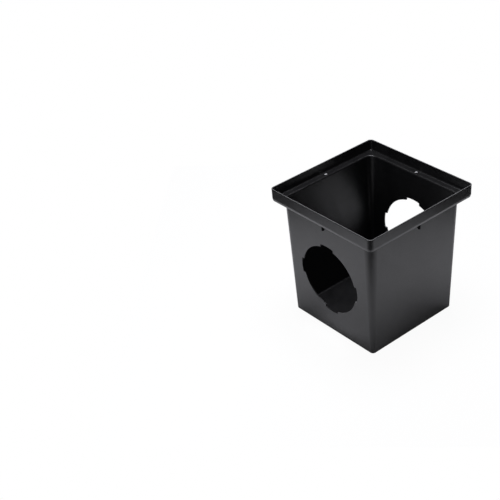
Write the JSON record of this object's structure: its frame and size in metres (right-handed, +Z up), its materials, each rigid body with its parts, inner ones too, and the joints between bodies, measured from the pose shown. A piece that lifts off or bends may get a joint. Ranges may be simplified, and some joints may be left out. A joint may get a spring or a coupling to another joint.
{
  "type": "catch basin",
  "caption": "Square black plastic catch basin with a raised grate rim, an inner ledge with screw holes and notched round pipe openings in opposite walls.",
  "frame": {"origin": "middle of the underside of the base", "axes": "+Z up through the open top; Y along the line through both pipe openings; X through the plain walls"},
  "size_m": [0.311, 0.311, 0.323],
  "materials": {
    "black_plastic": "satin moulded polyethylene"
  },
  "bodies": {
    "root": {"basin_body": "black_plastic"}
  },
  "joints": []
}
